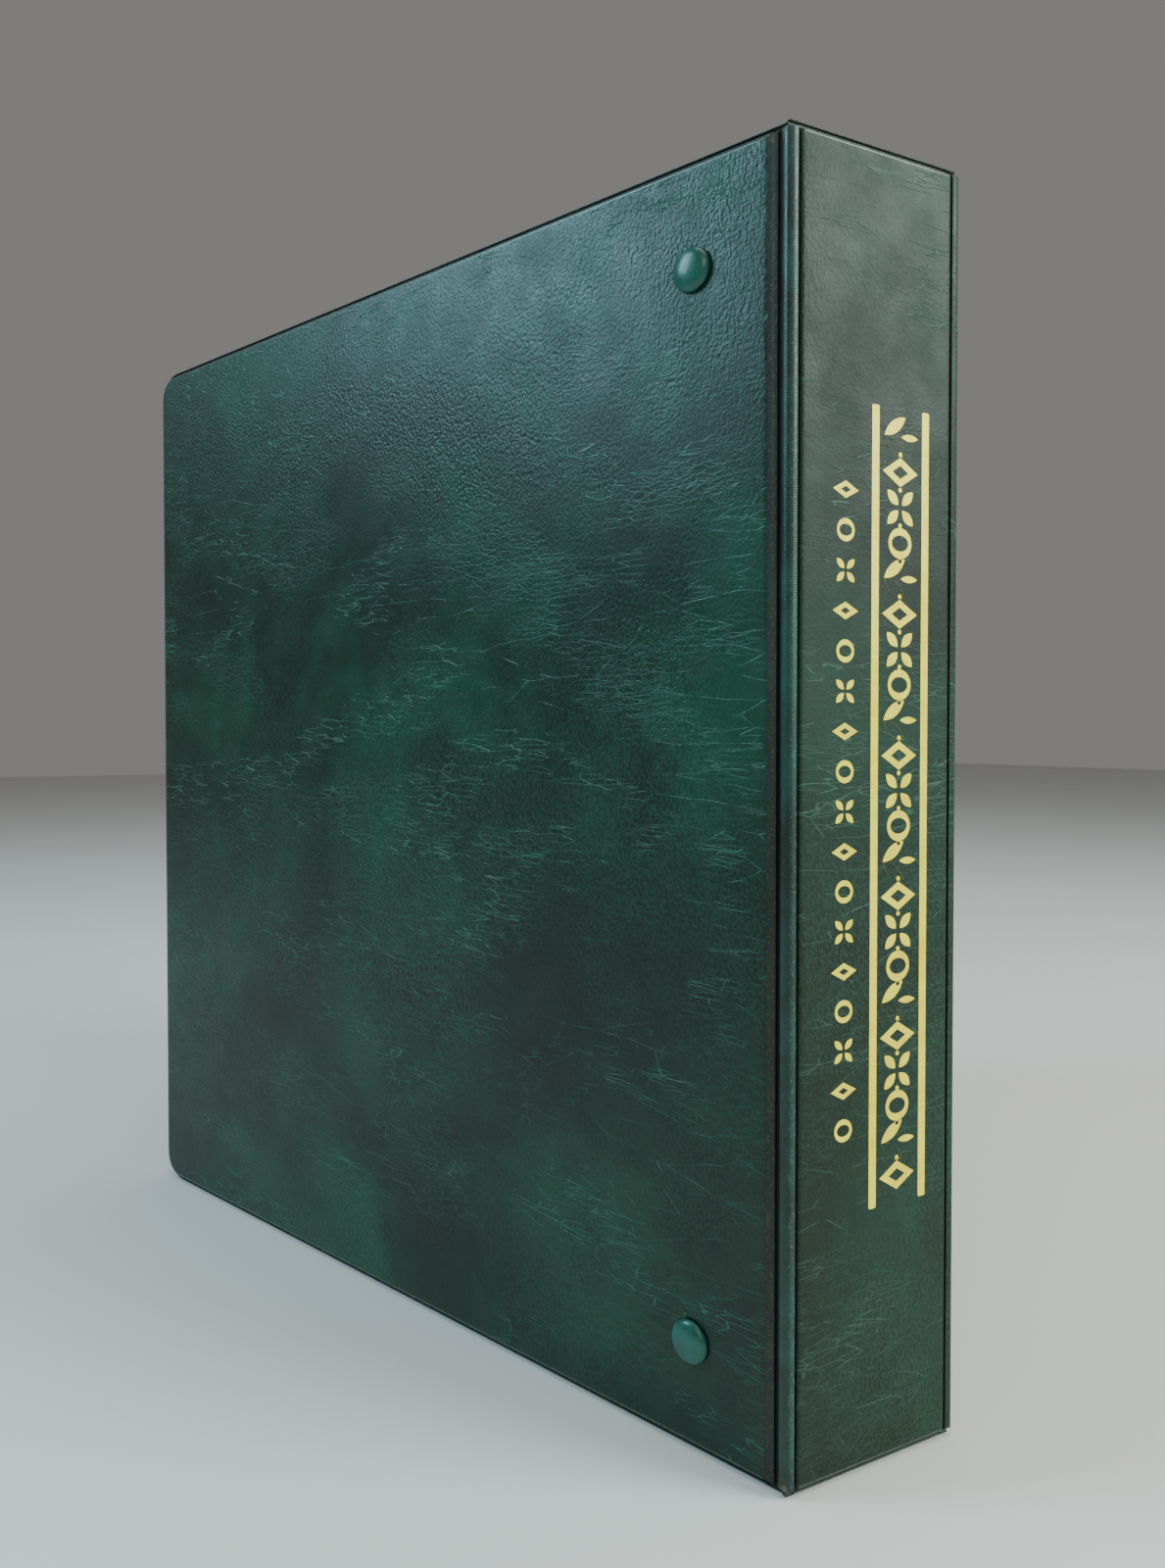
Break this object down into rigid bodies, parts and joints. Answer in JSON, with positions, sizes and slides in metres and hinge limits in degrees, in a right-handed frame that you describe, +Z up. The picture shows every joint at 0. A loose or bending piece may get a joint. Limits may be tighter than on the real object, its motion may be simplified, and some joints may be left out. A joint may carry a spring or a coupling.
{
  "type": "stamp album",
  "caption": "Three-ring stamp album in mottled dark green leatherette, standing with its covers a little open.",
  "frame": {"origin": "middle of the album's footprint on the surface that it stands on", "axes": "+Z up along the spine; -Y is the way the spine's outer face looks; +X from the back cover towards the front cover"},
  "size_m": [0.2128, 0.257, 0.292],
  "materials": {
    "leatherette": "mottled dark green grained vinyl",
    "lining": "plain dark green vinyl",
    "board": "grey-brown chipboard",
    "rivet_paint": "glossy green enamel",
    "steel": "nickel-plated sheet",
    "ring_wire": "nickel-plated wire",
    "paper": "ivory leaf stock",
    "lifter": "black moulded sheet"
  },
  "bodies": {
    "spine": {"spine_skin": "leatherette", "spine_board": "board", "spine_lining": "lining", "back_hinge_bead": "leatherette", "front_hinge_bead": "leatherette"},
    "back_cover": {"back_cover_skin": "leatherette", "back_cover_board": "board", "back_cover_lining": "lining", "lower_rivet": "rivet_paint", "upper_rivet": "rivet_paint", "lower_rivet_burr": "steel", "upper_rivet_burr": "steel", "ring_housing": "steel", "lower_lever_pin": "steel", "upper_lever_pin": "steel", "rear_sheet_lifter": "lifter", "rear_leaf_pack": "paper"},
    "front_cover": {"front_cover_skin": "leatherette", "front_cover_board": "board", "front_cover_lining": "lining"},
    "post_ring_side": {"post_blade": "steel", "lower_ring_post_half": "ring_wire", "middle_ring_post_half": "ring_wire", "upper_ring_post_half": "ring_wire"},
    "curve_ring_side": {"curve_blade": "steel", "lower_ring_curve_half": "ring_wire", "middle_ring_curve_half": "ring_wire", "upper_ring_curve_half": "ring_wire"},
    "upper_lever": {"upper_lever": "steel"},
    "lower_lever": {"lower_lever": "steel"},
    "lower_leaves": {"lower_leaf_pack": "paper"},
    "middle_leaves": {"middle_leaf_pack": "paper"},
    "front_leaves": {"upper_leaf_pack": "paper", "title_leaf": "paper", "front_sheet_lifter": "lifter"}
  },
  "joints": [
    {"name": "back_cover_hinge", "type": "hinge", "parent": "spine", "child": "back_cover", "pos_m": [-0.0225, -0.12653, 0.146], "axis": [0, 0, 1], "range_deg": [-18, 162]},
    {"name": "front_cover_hinge", "type": "hinge", "parent": "spine", "child": "front_cover", "pos_m": [0.0225, -0.12653, 0.146], "axis": [0, 0, -1], "range_deg": [-18, 162]},
    {"name": "ring_opening", "type": "hinge", "parent": "back_cover", "child": "post_ring_side", "pos_m": [-0.03021, -0.08887, 0.146], "axis": [0, 0, 1], "range_deg": [0, 7]},
    {"name": "curve_side_opening", "type": "hinge", "parent": "back_cover", "child": "curve_ring_side", "pos_m": [-0.02206, -0.11398, 0.146], "axis": [0, 0, 1], "range_deg": [-7, 0]},
    {"name": "upper_lever_pivot", "type": "hinge", "parent": "back_cover", "child": "upper_lever", "pos_m": [-0.02623, -0.10146, 0.275], "axis": [-0.309, 0.9511, 0], "range_deg": [-20.01, 0]},
    {"name": "lower_lever_pivot", "type": "hinge", "parent": "back_cover", "child": "lower_lever", "pos_m": [-0.02623, -0.10146, 0.017], "axis": [-0.309, 0.9511, 0], "range_deg": [0, 20.01]},
    {"name": "lower_leaves_turn", "type": "hinge", "parent": "back_cover", "child": "lower_leaves", "pos_m": [-0.00822, -0.09929, 0.146], "axis": [0, 0, 1], "range_deg": [-54, 6.01]},
    {"name": "middle_leaves_turn", "type": "hinge", "parent": "back_cover", "child": "middle_leaves", "pos_m": [-0.00822, -0.09929, 0.146], "axis": [0, 0, 1], "range_deg": [-108.02, 12.01]},
    {"name": "front_leaves_turn", "type": "hinge", "parent": "back_cover", "child": "front_leaves", "pos_m": [-0.00822, -0.09929, 0.146], "axis": [0, 0, 1], "range_deg": [-162.01, 18.01]}
  ],
  "couplings": [
    {"joint": "curve_side_opening", "follows": "ring_opening", "ratio": -1},
    {"joint": "upper_lever_pivot", "follows": "ring_opening", "ratio": -2.8571},
    {"joint": "lower_lever_pivot", "follows": "ring_opening", "ratio": 2.8571},
    {"joint": "lower_leaves_turn", "follows": "back_cover_hinge", "ratio": -0.3333},
    {"joint": "middle_leaves_turn", "follows": "back_cover_hinge", "ratio": -0.6667},
    {"joint": "front_leaves_turn", "follows": "back_cover_hinge", "ratio": -1}
  ]
}
